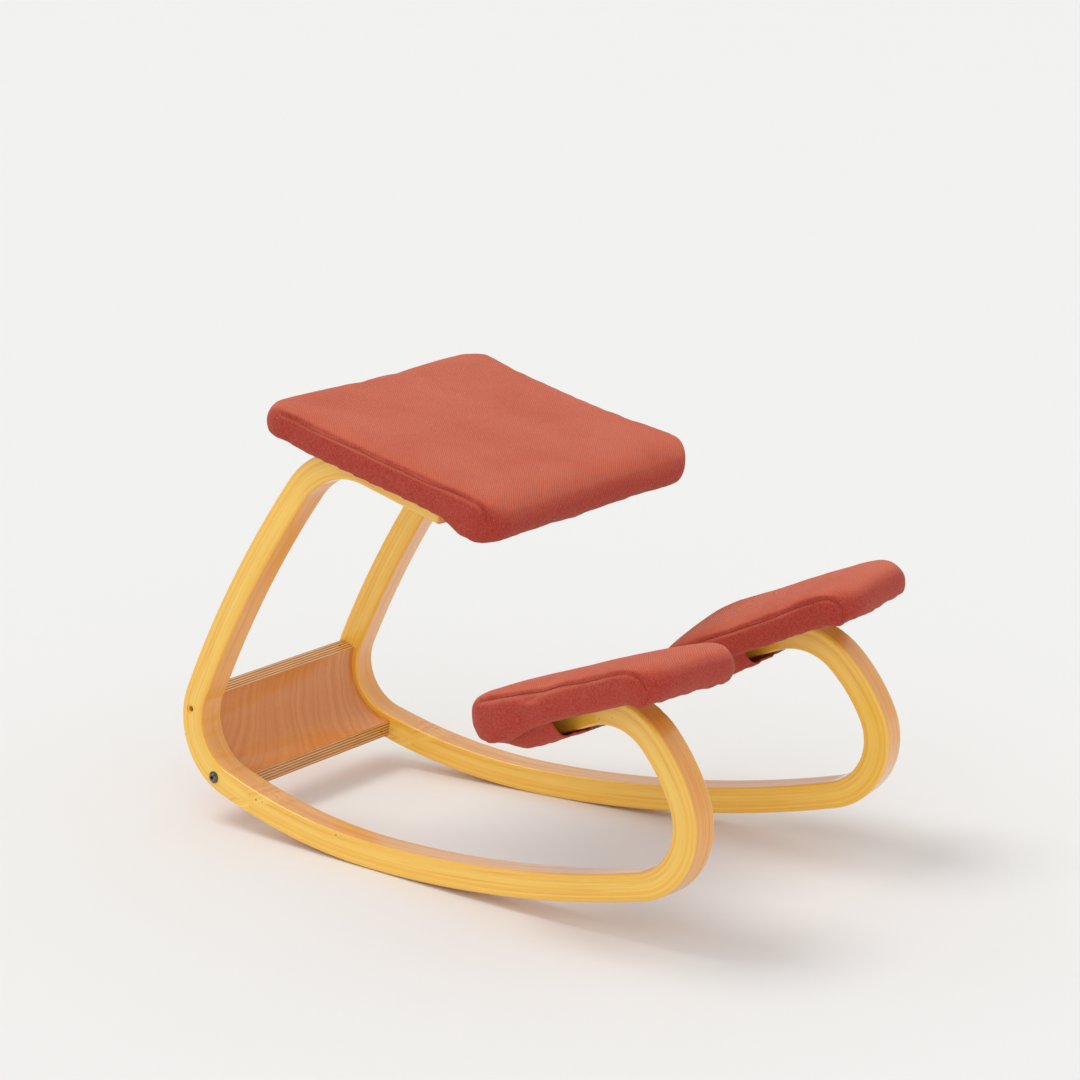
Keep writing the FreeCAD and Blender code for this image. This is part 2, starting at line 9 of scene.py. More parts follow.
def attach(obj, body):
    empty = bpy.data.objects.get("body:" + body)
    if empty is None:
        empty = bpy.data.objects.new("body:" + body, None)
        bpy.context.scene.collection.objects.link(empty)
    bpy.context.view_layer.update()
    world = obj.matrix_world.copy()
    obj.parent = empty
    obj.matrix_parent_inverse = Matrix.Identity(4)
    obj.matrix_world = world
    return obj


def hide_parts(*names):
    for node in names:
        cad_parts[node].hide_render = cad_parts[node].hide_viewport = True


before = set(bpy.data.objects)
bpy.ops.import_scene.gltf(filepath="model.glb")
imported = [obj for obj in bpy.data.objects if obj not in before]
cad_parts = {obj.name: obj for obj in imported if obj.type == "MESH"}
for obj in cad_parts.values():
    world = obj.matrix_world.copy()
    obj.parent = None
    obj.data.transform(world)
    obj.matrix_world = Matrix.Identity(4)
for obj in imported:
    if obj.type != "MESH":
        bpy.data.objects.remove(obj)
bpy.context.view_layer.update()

MM = 0.001


# Sizes, in millimetres and degrees

# the left runner's turn and place; the right one mirrors it
RUNNER_SPLAY = 4.088545
RUNNER_LEAN = 1.410018
RUNNER_SPOT = (-75.9, 156.5, 0.3245)
# centre, radius, first and last angle in radians, in the runner's own plane
REAR_BENDS = [
    ((0.0, 729.3), 714.5, 4.712389, 4.397357),
    ((-200.006, 115.567), 69.0, 4.397357, 2.709798),
    ((893.486, -388.308), 1273.0, 2.709798, 2.476273),
    ((-32.325, 338.143), 96.2, 2.476273, 1.336922),
]
FRONT_BENDS = [
    ((0.0, 1404.8), 1390.0, -1.570796, -1.301841),
    ((350.730, 132.352), 70.1, -1.301841, 0.415737),
    ((251.746, 88.654), 178.3, 0.415737, 0.806691),
    ((325.087, 165.186), 72.3, 0.806691, 1.957387),
]
# how far past a bend's ends a point still belongs to it, in radians, what a point further on
# adds to its distance from that bend, and a distance over all others
BEND_SLACK = 0.003
BEYOND = 1.0e4
FAR = 1.0e6
# thickness of the veneers, the crosspiece's axis as x and z, and the radius at which its grain
# is measured round that axis
PLY = 1.85
CROSS_AXIS = (-274.04, 115.46)
CROSS_GRAIN_RADIUS = 75.0
CROSS_PLY = 1.8

# A cushion's form in its own frame, which "spot" and "turn" place. "half" is half its length and
# width and "corner" its corners' radius in plan. "seam" is the side seam's level, its rise on the
# outer side, and how that rise changes along the length; "outer" is the side that is meant, or 0.
# "crown" is the top's height over the seam and "skirt" the lower edge's level. "nose" and "tail"
# are the drop and length of the lip in front and behind. "top_round" and "under_round" are the
# rim's radius at a side and what an end adds, and "droop" the share and radius of the ends' fall.
# "gather" is how strongly the cloth under the lips is folded. "hollow" is the room underneath as
# half length, half width and shift, and "board" its ceiling.
SEAT = {
    "spot": (-56.67, 0.0, 440.55),
    "turn": (0.0, 13.4, 0.0),
    "half": (163.0, 185.0),
    "corner": 31.0,
    "seam": (20.0, 0.0, 0.0),
    "crown": 2.4,
    "skirt": -17.5,
    "nose": (14.5, 82.0),
    "tail": (1.5, 45.0),
    "top_round": (8.5, 17.0),
    "under_round": (5.0, 15.0),
    "hollow": (102.0, 171.5, -12.0),
    "board": 4.0,
    "outer": 0,
    "gather": 0.3,
    "droop": (0.26, 40.0),
}
KNEE = {
    "half": (131.0, 74.5),
    "corner": 33.0,
    "seam": (19.5, 3.6, -3.1),
    "crown": 6.0,
    "skirt": -15.5,
    "nose": (10.0, 52.0),
    "tail": (13.0, 92.0),
    "top_round": (8.0, 19.0),
    "under_round": (6.0, 16.0),
    "hollow": (83.0, 49.0, -8.0),
    "board": 4.0,
    "gather": 1.1,
    "droop": (0.5, 48.0),
    # the slack cloth's rear end, front end, half width, lowest level and thickness
    "under_cloth": (-112.0, -28.0, 57.0, -37.0, 1.4),
}
# how far the stuffing may move a point, and the remesh's voxel
SEAT_CAP, SEAT_VOXEL = 5.0, 5.0
KNEE_CAP, KNEE_VOXEL = 4.0, 4.5
# the left knee cushion's place and its yaw, pitch and roll, which the right one mirrors, and the
# pitch that the right one has more and the left one less
KNEE_SPOT = (225.28, 170.4, 249.88)
KNEE_TURN = (3.516, -22.143, 1.522)
KNEE_DIP = 1.8
OUTLINE_STEPS = 96
STUFFING_FRAMES = 20
STUFFING_PRESSURE = 4.0
SEAM_RADIUS = 0.5
SEAM_STEP = 1.5

# Small marks of use: place in mm, radius in mm and strength
RUNNER_MARKS = [
    ((-244.8, -159.6, 41.8), 2.2, 0.8),
    ((-235.6, -160.3, 41.5), 1.6, 0.7),
    ((-124.4, -168.5, 28.3), 1.6, 0.9),
    ((-117.0, -169.1, 28.8), 1.2, 0.7),
    ((-353.8, -150.5, 95.3), 1.3, 0.8),
    ((234.5, -189.3, 228.4), 1.3, 0.8),
    ((250.9, -190.3, 232.7), 1.1, 0.7),
]
KNOT = [((-304.5, -16.3, 67.0), 3.4, 0.85)]
SNAG = [((197.8, 192.7, 269.1), 1.5, 0.9)]
LINT = [
    ((-178.9, -147.8, 493.3), 0.8, 0.8),
    ((-183.0, -184.0, 481.7), 0.9, 0.8),
    ((-131.7, -184.0, 461.5), 0.8, 0.7),
]


# Node materials

class Paint:
    """A node material in the making; a value is a number, a colour or another node's socket."""

    def __init__(self, name):
        self.material = bpy.data.materials.new(name)
        self.material.use_nodes = True
        self.tree = self.material.node_tree
        self.tree.nodes.clear()
        self.shader = self.add("BsdfPrincipled")
        out = self.add("OutputMaterial")
        self.tree.links.new(self.shader.outputs[0], out.inputs[0])
        self.spot = self.add("TexCoord").outputs["Object"]

    def add(self, kind):
        return self.tree.nodes.new("ShaderNode" + kind)

    def put(self, socket, value):
        if isinstance(value, bpy.types.NodeSocket):
            self.tree.links.new(value, socket)
        else:
            socket.default_value = value

    def set(self, **values):
        """Sets the shader's sockets, named with _ for each blank."""
        for name, value in values.items():
            self.put(self.shader.inputs[name.replace("_", " ")], value)

    def math(self, operation, *values):
        node = self.add("Math")
        node.operation = operation
        for socket, value in zip(node.inputs, values):
            self.put(socket, value)
        return node.outputs[0]

    def vector(self, operation, *values):
        node = self.add("VectorMath")
        node.operation = operation
        for socket, value in zip(node.inputs, values):
            self.put(socket, value)
        return node.outputs["Value" if operation in ("DOT_PRODUCT", "LENGTH") else "Vector"]

    def dot(self, a, b):
        return self.vector("DOT_PRODUCT", a, b)

    def join(self, x, y, z):
        node = self.add("CombineXYZ")
        for socket, value in zip(node.inputs, (x, y, z)):
            self.put(socket, value)
        return node.outputs[0]

    def fit(self, value, low, high, first=0.0, last=1.0, smooth=False):
        node = self.add("MapRange")
        if smooth:
            node.interpolation_type = "SMOOTHSTEP"
        for socket, given in zip(node.inputs, (value, low, high, first, last)):
            self.put(socket, given)
        return node.outputs[0]

    def noise(self, vector, scale, detail=2.0, rough=0.5, stretch=None):
        if stretch:
            vector = self.vector("MULTIPLY", vector, stretch)
        node = self.add("TexNoise")
        self.put(node.inputs["Vector"], vector)
        self.put(node.inputs["Scale"], scale)
        self.put(node.inputs["Detail"], detail)
        self.put(node.inputs["Roughness"], rough)
        return node.outputs[0]

    def random(self, value):
        node = self.add("TexWhiteNoise")
        node.noise_dimensions = "1D"
        self.put(node.inputs["W"], value)
        return node.outputs["Value"]

    def mix(self, share, a, b):
        node = self.add("Mix")
        node.data_type = "RGBA"
        self.put(node.inputs[0], share)
        self.put(node.inputs[6], a)
        self.put(node.inputs[7], b)
        return node.outputs[2]

    def pick(self, choose, first, second):
        """The first value where choose is 1, and the second where it is 0."""
        node = self.add("Mix")
        node.data_type = "FLOAT"
        self.put(node.inputs[0], choose)
        self.put(node.inputs[2], second)
        self.put(node.inputs[3], first)
        return node.outputs[0]

    def bump(self, height, distance, strength=1.0):
        node = self.add("Bump")
        self.put(node.inputs["Strength"], strength)
        self.put(node.inputs["Distance"], distance * MM)
        self.put(node.inputs["Height"], height)
        self.put(self.shader.inputs["Normal"], node.outputs[0])

    def millimetres(self, origin=(0.0, 0.0, 0.0)):
        scaled = self.vector("SCALE", self.spot)
        self.put(scaled.node.inputs["Scale"], 1.0 / MM)
        return self.vector("SUBTRACT", scaled, origin)


def tone(red, green, blue):
    """A colour given as it shows on a screen, 0 to 255."""
    def linear(part):
        part /= 255
        return part / 12.92 if part <= 0.04045 else ((part + 0.055) / 1.055) ** 2.4
    return (linear(red), linear(green), linear(blue), 1.0)


def turned(yaw, pitch, roll):
    return Euler((math.radians(roll), math.radians(pitch), math.radians(yaw))).to_matrix()


def with_spots(paint, share, spots):
    """share with a mark at each spot, given as a place in mm, a radius and a strength."""
    for place, radius, strength in spots:
        near = paint.vector("LENGTH", paint.millimetres(place))
        ragged = paint.noise(paint.spot, 400.0, 2.0)
        near = paint.math("MULTIPLY_ADD", ragged, radius, near)
        mark = paint.fit(near, radius * 0.7, radius * 1.4, strength, 0.0, smooth=True)
        share = paint.math("MAXIMUM", share, mark)
    return share


def runner_lines(paint, side):
    """Depth across the strip, length along it and place across its width, in mm."""
    turn = turned(side * RUNNER_SPLAY, 0.0, side * RUNNER_LEAN)
    spot = (RUNNER_SPOT[0], side * RUNNER_SPOT[1], RUNNER_SPOT[2])
    place = paint.millimetres(spot)
    plane = paint.join(paint.dot(place, turn.col[0]), paint.dot(place, turn.col[2]), 0.0)
    across = paint.dot(place, turn.col[1])
    best, depth, length = FAR, 0.0, 0.0
    for way, bends in ((-1, REAR_BENDS), (1, FRONT_BENDS)):
        run = 0.0
        for centre, radius, first, last in bends:
            middle = (first + last) / 2
            half = abs(last - first) / 2
            ray = paint.vector("SUBTRACT", plane, (*centre, 0.0))
            out = paint.dot(ray, (math.cos(middle), math.sin(middle), 0.0))
            aside = paint.dot(ray, (-math.sin(middle), math.cos(middle), 0.0))
            swing = paint.math("ARCTAN2", aside, out)
            off = paint.math("SUBTRACT", paint.vector("LENGTH", ray), radius)
            outside = paint.math("GREATER_THAN", paint.math("ABSOLUTE", swing), half + BEND_SLACK)
            score = paint.math("MULTIPLY_ADD", outside, BEYOND, paint.math("ABSOLUTE", off))
            along = paint.math("MULTIPLY_ADD", swing, radius, way * (run + half * radius))
            nearer = paint.math("LESS_THAN", score, best)
            best = paint.math("MINIMUM", score, best)
            depth = paint.pick(nearer, off, depth)
            length = paint.pick(nearer, along, length)
            run += 2 * half * radius
        centre, radius, _, last = bends[-1]
        ray = paint.vector("SUBTRACT", plane, (*centre, 0.0))
        off = paint.math("SUBTRACT", paint.dot(ray, (math.cos(last), math.sin(last), 0.0)), radius)
        ahead = paint.dot(ray, (-way * math.sin(last), way * math.cos(last), 0.0))
        behind = paint.math("LESS_THAN", ahead, 0.0)
        score = paint.math("MULTIPLY_ADD", behind, BEYOND, paint.math("ABSOLUTE", off))
        nearer = paint.math("LESS_THAN", score, best)
        best = paint.math("MINIMUM", score, best)
        depth = paint.pick(nearer, off, depth)
        length = paint.pick(nearer, paint.math("MULTIPLY_ADD", ahead, way, way * run), length)
    return depth, length, across


def laminated(paint, depth, length, across, ply, colours, edge_share, marks=()):
    """Bent veneers: tone by ply, long grain, fine pores and thin glue lines."""
    light, middle, dark, deep = colours
    layer = paint.math("FLOOR", paint.math("DIVIDE", depth, ply))
    inside = paint.math("FRACT", paint.math("DIVIDE", depth, ply))
    own = paint.random(layer)
    row = paint.join(length, paint.math("MULTIPLY", depth, 4.0), across)
    broad = paint.noise(row, 0.02, 3.0, 0.55, (0.35, 1.0, 2.2))
    streak = paint.noise(row, 0.09, 4.0, 0.6, (0.045, 1.0, 3.4))
    pores = paint.noise(row, 0.8, 2.0, 0.6, (0.05, 1.0, 2.0))
    share = paint.math("MULTIPLY_ADD", own, 0.35, paint.math("MULTIPLY", broad, 0.55))
    share = paint.math("MULTIPLY_ADD", streak, 0.45, share)
    colour = paint.mix(paint.fit(share, 0.38, 0.78), light, middle)
    colour = paint.mix(paint.fit(streak, 0.54, 0.72, 0.0, 0.55), colour, dark)
    colour = paint.mix(paint.fit(pores, 0.62, 0.78, 0.0, 0.35), colour, deep)
    glue = paint.math("ABSOLUTE", paint.math("SUBTRACT", inside, 0.5))
    glue = paint.fit(glue, 0.5 - 0.14 / ply, 0.5, 0.0, 1.0)
    seen = paint.fit(paint.noise(row, 0.03, 2.0, 0.5, (0.3, 3.0, 1.0)), 0.4, 0.62)
    line = paint.math("MULTIPLY", paint.math("MULTIPLY", glue, seen), edge_share)
    colour = paint.mix(paint.math("MULTIPLY", line, 0.6), colour, dark)
    share = with_spots(paint, 0.0, marks)
    colour = paint.mix(share, colour, deep)
    paint.set(Base_Color=colour)
    paint.set(Roughness=paint.fit(streak, 0.3, 0.75, 0.3, 0.45))
    paint.shader.inputs["Coat Weight"].default_value = 0.9
    paint.shader.inputs["Coat Roughness"].default_value = 0.14
    paint.shader.inputs["Specular IOR Level"].default_value = 0.5
    dents = paint.fit(paint.noise(paint.spot, 90.0, 3.0, 0.6), 0.7, 0.78, 0.0, -1.0)
    height = paint.math("MULTIPLY_ADD", pores, -0.25, paint.math("MULTIPLY", line, -0.6))
    height = paint.math("ADD", height, paint.math("SUBTRACT", dents, share))
    paint.bump(height, 0.25, 0.5)


def runner_paint(side, marks):
    paint = Paint("varnished_bent_wood_%s" % ("left" if side > 0 else "right"))
    depth, length, across = runner_lines(paint, side)
    side_face = paint.fit(paint.math("ABSOLUTE", across), 12.0, 15.0)
    colours = (
        paint.mix(side_face, tone(250, 188, 98), tone(255, 211, 92)),
        paint.mix(side_face, tone(238, 160, 62), tone(250, 190, 58)),
        paint.mix(side_face, tone(212, 124, 40), tone(222, 148, 36)),
        tone(96, 48, 18),
    )
    laminated(paint, depth, length, across, PLY, colours, side_face, marks)
    return paint.material


def crosspiece_paint(marks):
    """Moulded veneers: a banded broad face with a knot, and striped plies on the cut edges."""
    paint = Paint("moulded_ply")
    place = paint.millimetres((CROSS_AXIS[0], 0.0, CROSS_AXIS[1]))
    plane = paint.vector("MULTIPLY", place, (1.0, 0.0, 1.0))
    depth = paint.vector("LENGTH", plane)
    angle = paint.math("ARCTAN2", paint.dot(place, (0, 0, 1)), paint.dot(place, (-1, 0, 0)))
    length = paint.dot(place, (0, 1, 0))
    girth = paint.math("MULTIPLY", angle, CROSS_GRAIN_RADIUS)
    sheet = paint.join(girth, length, 0.0)
    bend = paint.noise(sheet, 0.012, 2.0, 0.5)
    arc = paint.vector("LENGTH", paint.vector("SUBTRACT", sheet, (20.0, -170.0, 0.0)))
    arc = paint.math("MULTIPLY_ADD", bend, 22.0, arc)
    bands = paint.add("TexNoise")
    bands.noise_dimensions = "1D"
    paint.put(bands.inputs["W"], arc)
    paint.put(bands.inputs["Scale"], 0.13)
    paint.put(bands.inputs["Detail"], 4.0)
    figure = bands.outputs[0]
    fine = paint.noise(sheet, 0.9, 3.0, 0.6, (0.12, 1.0, 1.0))
    colour = paint.mix(paint.fit(figure, 0.35, 0.66), tone(226, 148, 76), tone(217, 135, 64))
    colour = paint.mix(paint.fit(fine, 0.55, 0.8, 0.0, 0.4), colour, tone(150, 78, 34))
    layer = paint.math("FLOOR", paint.math("DIVIDE", depth, CROSS_PLY))
    inside = paint.math("FRACT", paint.math("DIVIDE", depth, CROSS_PLY))
    stripe = paint.math("GREATER_THAN", paint.math("MODULO", layer, 2.0), 0.5)
    ply = paint.mix(stripe, tone(238, 184, 100), tone(176, 100, 44))
    ply = paint.mix(paint.fit(inside, 0.86, 0.95, 0.0, 0.7), ply, tone(96, 50, 24))
    cut = paint.noise(place, 0.3, 3.0, 0.6, (1.0, 0.06, 1.0))
    ply = paint.mix(paint.fit(cut, 0.45, 0.8, 0.0, 0.5), ply, tone(150, 88, 40))
    normal = paint.add("NewGeometry").outputs["Normal"]
    radial = paint.vector("NORMALIZE", plane)
    facing = paint.math("ABSOLUTE", paint.dot(normal, radial))
    colour = paint.mix(paint.fit(facing, 0.55, 0.8), ply, colour)
    share = with_spots(paint, 0.0, marks)
    colour = paint.mix(share, colour, tone(92, 46, 44))
    paint.set(Base_Color=colour, Roughness=paint.fit(fine, 0.3, 0.8, 0.32, 0.46))
    paint.shader.inputs["Coat Weight"].default_value = 0.45
    paint.shader.inputs["Coat Roughness"].default_value = 0.18
    joints = paint.fit(inside, 0.86, 0.95, 0.0, -0.4)
    paint.bump(paint.math("MULTIPLY_ADD", fine, -0.3, joints), 0.2, 0.4)
    return paint.material


def cloth_paint(name, turn, spot, painted_shade_factor=1.0, marks=(), lint=()):
    """Ribbed wool twill: diagonal ribs, crossed threads, fuzz, a painted lighter top and painted
    shade on the sides.
    """
    paint = Paint(name)
    place = paint.millimetres(spot)
    along = paint.dot(place, turn.col[0])
    aside = paint.dot(place, turn.col[1])
    above = paint.dot(place, turn.col[2])
    wander = paint.noise(place, 0.05, 2.0, 0.5)
    slant = paint.math("ADD", along, paint.math("MULTIPLY", aside, 0.62))
    slant = paint.math("ADD", slant, paint.math("MULTIPLY", above, 0.5))
    slant = paint.math("MULTIPLY_ADD", wander, 2.5, slant)
    rib = paint.math("SINE", paint.math("MULTIPLY", slant, 2 * math.pi / 2.3))
    cross = paint.math("SUBTRACT", aside, paint.math("MULTIPLY", along, 0.8))
    cross = paint.math("ADD", cross, above)
    thread = paint.math("SINE", paint.math("MULTIPLY", cross, 2 * math.pi / 1.25))
    weave = paint.math("MULTIPLY_ADD", thread, 0.3, rib)
    fuzz = paint.noise(place, 1.1, 4.0, 0.65)
    cloud = paint.noise(place, 0.013, 3.0, 0.55)
    heather = paint.noise(place, 0.5, 3.0, 0.7)
    # Painted light and shade: where the cloth faces up it gets lighter, patchy tones, as if lit,
    # and the sides get a darker red, as if in shade.
    up = paint.dot(paint.add("NewGeometry").outputs["Normal"], turn.col[2])
    top = paint.fit(up, 0.1, 0.8, 0.0, 1.0, smooth=True)
    painted_lit_top = paint.mix(paint.fit(cloud, 0.3, 0.7), tone(224, 114, 86), tone(212, 96, 72))
    colour = paint.mix(top, tone(176, 48, 40), painted_lit_top)
    colour = paint.mix(paint.fit(heather, 0.35, 0.7, 0.0, 0.35), colour, tone(222, 126, 100))
    colour = paint.mix(paint.fit(fuzz, 0.5, 0.75, 0.0, 0.3), colour, tone(132, 38, 30))
    groove = paint.fit(weave, -1.3, 0.3, 0.38, 0.0)
    colour = paint.mix(groove, colour, tone(120, 34, 26))
    specks = paint.fit(paint.noise(place, 0.33, 2.0, 0.4), 0.785, 0.8)
    colour = paint.mix(paint.math("MULTIPLY", specks, 0.5), colour, tone(240, 200, 180))
    share = with_spots(paint, 0.0, marks)
    colour = paint.mix(share, colour, tone(60, 20, 24))
    share = with_spots(paint, 0.0, lint)
    colour = paint.mix(share, colour, tone(246, 224, 210))
    # A factor below 1 darkens the whole colour towards a deep red: painted shade, used on the
    # seams where the cloth is drawn in.
    if painted_shade_factor < 1.0:
        colour = paint.mix(1.0 - painted_shade_factor, colour, tone(70, 18, 14))
    paint.set(Base_Color=colour, Roughness=paint.fit(fuzz, 0.3, 0.8, 0.82, 0.96))
    paint.shader.inputs["Sheen Weight"].default_value = 0.25
    paint.shader.inputs["Sheen Roughness"].default_value = 0.5
    paint.shader.inputs["Sheen Tint"].default_value = tone(255, 196, 170)
    paint.shader.inputs["Specular IOR Level"].default_value = 0.2
    height = paint.math("MULTIPLY_ADD", fuzz, 1.2, paint.math("MULTIPLY", weave, 0.35))
    paint.bump(height, 0.5, 0.8)
    return paint.material


def metal_paint(name, light, dark, roughness, metallic=1.0):
    paint = Paint(name)
    scuffs = paint.noise(paint.spot, 900.0, 3.0, 0.6, (1.0, 1.0, 0.2))
    blotch = paint.noise(paint.spot, 160.0, 3.0, 0.5)
    share = paint.math("MULTIPLY_ADD", blotch, 0.6, paint.math("MULTIPLY", scuffs, 0.4))
    paint.set(Base_Color=paint.mix(paint.fit(share, 0.4, 0.65), light, dark), Metallic=metallic)
    paint.set(Roughness=paint.fit(share, 0.35, 0.7, roughness, roughness + 0.16))
    paint.bump(scuffs, 0.03, 0.4)
    return paint.material


def plain_ply_paint():
    paint = Paint("plain_ply")
    place = paint.millimetres()
    grain = paint.noise(place, 0.25, 4.0, 0.6, (0.08, 1.0, 1.0))
    colour = paint.mix(paint.fit(grain, 0.35, 0.7), tone(222, 196, 150), tone(186, 150, 102))
    paint.set(Base_Color=colour, Roughness=0.7)
    paint.bump(grain, 0.2, 0.4)
    return paint.material


def dress(node, material):
    """Gives a node of the construction its material."""
    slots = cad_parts[node].material_slots
    for slot in slots:
        slot.material = material
    if not slots:
        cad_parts[node].data.materials.append(material)


# Upholstery

def outline_point(step, steps, half, corner, inset):
    """One of the matched points round a rounded rectangle drawn in by inset, and its normal."""
    sides = 4
    per_side = steps // sides
    quarter, within = divmod(step, per_side)
    long_half, short_half = half[0] - inset, half[1] - inset
    radius = max(corner - inset, 1.0)
    bend = per_side // 2
    signs = ((1, 1), (-1, 1), (-1, -1), (1, -1))[quarter]
    centre = (signs[0] * (long_half - radius), signs[1] * (short_half - radius))
    start = quarter * math.pi / 2
    if within < bend:
        angle = start + math.pi / 2 * within / bend
        return (centre[0] + radius * math.cos(angle), centre[1] + radius * math.sin(angle),
                math.cos(angle), math.sin(angle))
    follow = ((1, 1), (-1, 1), (-1, -1), (1, -1))[(quarter + 1) % sides]
    angle = start + math.pi / 2
    ahead = (follow[0] * (long_half - radius), follow[1] * (short_half - radius))
    share = (within - bend) / (per_side - bend)
    return (centre[0] + (ahead[0] - centre[0]) * share + radius * math.cos(angle),
            centre[1] + (ahead[1] - centre[1]) * share + radius * math.sin(angle),
            math.cos(angle), math.sin(angle))


def smooth(share):
    share = min(max(share, 0.0), 1.0)
    return share * share * (3 - 2 * share)


class Pad:
    """A stuffed cushion over its board: crowned top, side walls and a hanging lip at each end."""

    def __init__(self, name, form, spot, turn):
        self.name = name
        self.form = form
        self.spot = Vector(spot)
        self.turn = turn

    def out(self, point):
        return (self.spot + self.turn @ Vector(point)) * MM

    def seam_level(self, a, b):
        level, tilt, twist = self.form["seam"]
        outer = self.form["outer"] * b / self.form["half"][1]
        return level + outer * (tilt + twist * a / self.form["half"][0])

    def top(self, a, b):
        long_half, short_half = self.form["half"]
        across = max(1 - (b / short_half) ** 2, 0.0)
        along = max(1 - abs(a / long_half) ** 3, 0.0)
        return self.seam_level(a, b) + self.form["crown"] * across * along ** 0.7 - self.droop(a)

    def droop(self, a):
        """How far the profile has rounded down towards its ends, besides the rim's own round."""
        share, bend = self.form["droop"]
        past = min(max(abs(a) - self.form["half"][0] + bend, 0.0), bend)
        return share * (bend - math.sqrt(bend * bend - past * past))

    def under(self, a):
        long_half = self.form["half"][0]
        nose, nose_length = self.form["nose"]
        tail, tail_length = self.form["tail"]
        front = smooth((a - long_half + nose_length) / (nose_length * 0.55))
        back = smooth((-a - long_half + tail_length) / (tail_length * 0.65))
        return self.form["skirt"] - nose * front - tail * back + 0.6 * self.droop(a)

    def rings(self, steps):
        """Matched rings of points, from the top's middle over the rim to the hollow's middle."""
        form = self.form
        rows = []

        def at(step, inset):
            a, b, *_ = outline_point(step, steps, form["half"], form["corner"], inset)
            return a, b

        rim = []
        for step in range(steps):
            _, _, na, _ = outline_point(step, steps, form["half"], form["corner"], 0.0)
            top_round = form["top_round"][0] + form["top_round"][1] * na * na
            under_round = form["under_round"][0] + form["under_round"][1] * na * na
            height = self.top(*at(step, top_round)) - self.under(at(step, under_round)[0])
            share = min(1.0, (height - 4.0) / (top_round + under_round))
            top_round *= share
            under_round *= share
            rim.append((top_round, under_round, self.top(*at(step, top_round)),
                        self.under(at(step, under_round)[0])))
        middle_rings = 12
        for ring in range(1, middle_rings + 1):
            share = ring / middle_rings
            row = []
            for step in range(steps):
                a, b = at(step, rim[step][0])
                row.append((a * share, b * share, self.top(a * share, b * share)))
            rows.append(row)
        for ring in range(1, 7):
            angle = math.pi / 2 * ring / 6
            row = []
            for step in range(steps):
                radius, _, level, _ = rim[step]
                a, b = at(step, radius * (1 - math.sin(angle)))
                row.append((a, b, level - radius * (1 - math.cos(angle))))
            rows.append(row)
        for ring in range(1, 5):
            row = []
            for step in range(steps):
                top_round, under_round, high, low = rim[step]
                high -= top_round
                low += under_round
                a, b = at(step, -1.2 * math.sin(math.pi * ring / 5))
                row.append((a, b, high + (low - high) * ring / 5))
            rows.append(row)
        for ring in range(0, 6):
            angle = math.pi / 2 * ring / 5
            row = []
            for step in range(steps):
                _, radius, _, level = rim[step]
                a, b = at(step, radius * (1 - math.cos(angle)))
                row.append((a, b, level + radius * (1 - math.sin(angle))))
            rows.append(row)
        half_a, half_b, back = form["hollow"]
        edge = []
        for step in range(steps):
            a, b, *_ = outline_point(step, steps, (half_a, half_b), 10.0, 0.0)
            edge.append((a + back, b))
        for ring in range(1, 6):
            share = ring / 5
            row = []
            for step in range(steps):
                a, b = at(step, rim[step][1])
                a += (edge[step][0] - a) * share
                b += (edge[step][1] - b) * share
                row.append((a, b, self.under(a) + 1.5 * smooth(share)))
            rows.append(row)
        for level in (0.35, 0.7, 1.0):
            row = []
            for a, b in edge:
                low = self.under(a) + 1.5
                row.append((a, b, low + (form["board"] - low) * level))
            rows.append(row)
        for ring in range(1, 9):
            share = 1 - ring / 9
            rows.append([(back + (a - back) * share, b * share, form["board"]) for a, b in edge])
        return rows

    def closed_form(self):
        """The form as a mesh piece, before it is stuffed."""
        steps = OUTLINE_STEPS
        rows = self.rings(steps)
        mesh = bmesh.new()
        loops = [[mesh.verts.new(self.out(point)) for point in row] for row in rows]
        for first, second in zip(loops, loops[1:]):
            for step in range(steps):
                after = (step + 1) % steps
                mesh.faces.new((first[step], second[step], second[after], first[after]))
        heart = mesh.verts.new(self.out((0.0, 0.0, self.top(0.0, 0.0))))
        pit = mesh.verts.new(self.out((self.form["hollow"][2], 0.0, self.form["board"])))
        for step in range(steps):
            after = (step + 1) % steps
            mesh.faces.new((heart, loops[0][step], loops[0][after]))
            mesh.faces.new((pit, loops[-1][after], loops[-1][step]))
        bmesh.ops.recalc_face_normals(mesh, faces=mesh.faces)
        data = bpy.data.meshes.new(self.name)
        mesh.to_mesh(data)
        mesh.free()
        piece = bpy.data.objects.new(self.name, data)
        bpy.context.scene.collection.objects.link(piece)
        return piece

    def local(self, point):
        return self.turn.transposed() @ (point / MM - self.spot)

    def in_hollow(self, point):
        half_a, half_b, back = self.form["hollow"]
        inside = abs(point.x - back) < half_a + 3 and abs(point.y) < half_b + 3
        return inside and self.under(point.x) - 1 < point.z < self.form["board"] + 2

    def seam_paths(self):
        """The seams between the top and the gussets, closed by rounded ends, on each side."""
        paths = []
        long_half, short_half = self.form["half"]
        for side in (1, -1):
            b = side * short_half
            spots = []
            bend = 13.0
            reach = long_half - 14.0
            begin = -long_half + 34.0
            for step in range(40):
                a = begin + (reach - bend - begin) * step / 40
                spots.append((a, b, self.seam_level(a, b) - self.droop(a) - 2.5))
            for step in range(13):
                angle = math.pi / 2 * step / 12
                a = reach - bend + bend * math.sin(angle)
                high = self.seam_level(a, b) - self.droop(a) - 2.5
                low = self.under(a) + 5
                drop = min(bend, (high - low) * 0.6)
                spots.append((a, b, high - drop * (1 - math.cos(angle))))
            spots.append((reach + 1.0, b, (spots[-1][2] + self.under(reach)) / 2 + 2))
            spots.append((reach - 1.0, b, self.under(reach) + 3))
            paths.append(spots)
        return paths


def apply_modifiers(piece):
    depsgraph = bpy.context.evaluated_depsgraph_get()
    data = bpy.data.meshes.new_from_object(piece.evaluated_get(depsgraph))
    piece.modifiers.clear()
    piece.data = data


